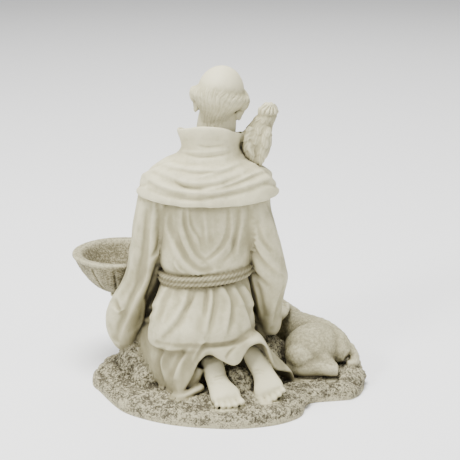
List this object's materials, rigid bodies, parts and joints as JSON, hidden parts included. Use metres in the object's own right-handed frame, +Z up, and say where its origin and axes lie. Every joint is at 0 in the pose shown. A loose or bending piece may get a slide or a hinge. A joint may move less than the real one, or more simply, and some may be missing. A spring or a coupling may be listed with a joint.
{
  "type": "kneeling saint francis garden statue",
  "caption": "Kneeling friar in a rope-belted habit with a hollow bowl, a resting lamb and a dove, cast in one with a rocky base.",
  "frame": {"origin": "on the flat underside of the base, below the kneeling figure", "axes": "+Z up; +Y is the way the figure faces, away from the pictured side; +X to the lamb's side"},
  "size_m": [0.3971, 0.2999, 0.4299],
  "materials": {
    "cast_stone": "pale stone-filled resin, matt, with a brown-grey wash in the recesses"
  },
  "bodies": {
    "root": {"saint_francis_statue": "cast_stone"}
  },
  "joints": []
}
